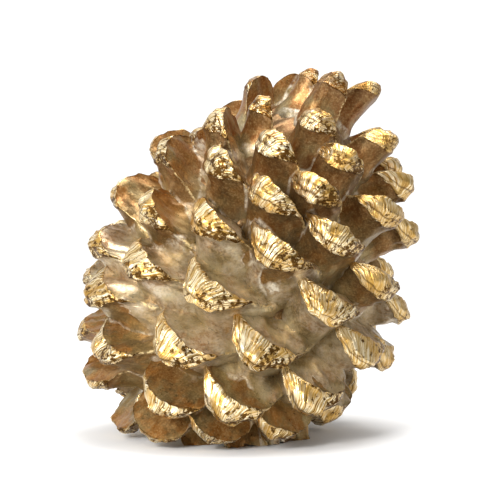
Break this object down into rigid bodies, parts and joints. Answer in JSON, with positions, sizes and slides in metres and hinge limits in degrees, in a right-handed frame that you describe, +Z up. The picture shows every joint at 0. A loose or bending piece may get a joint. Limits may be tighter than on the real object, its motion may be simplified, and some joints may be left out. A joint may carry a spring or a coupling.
{
  "type": "pinecone finial",
  "caption": "Cast pinecone ornament with a spiral of thick overlapping scales on a leaning core, cut flat at the foot.",
  "frame": {"origin": "middle of the object's bounding box in plan, on the flat foot", "axes": "+Z up, +X the side that the apex leans to, -Y the front seen in the picture"},
  "size_m": [0.1816, 0.1744, 0.1926],
  "materials": {
    "gilt_casting": "cast resin with an antique gold finish, gilt facets and rubbed olive-brown recesses"
  },
  "bodies": {
    "root": {"pinecone": "gilt_casting"}
  },
  "joints": []
}
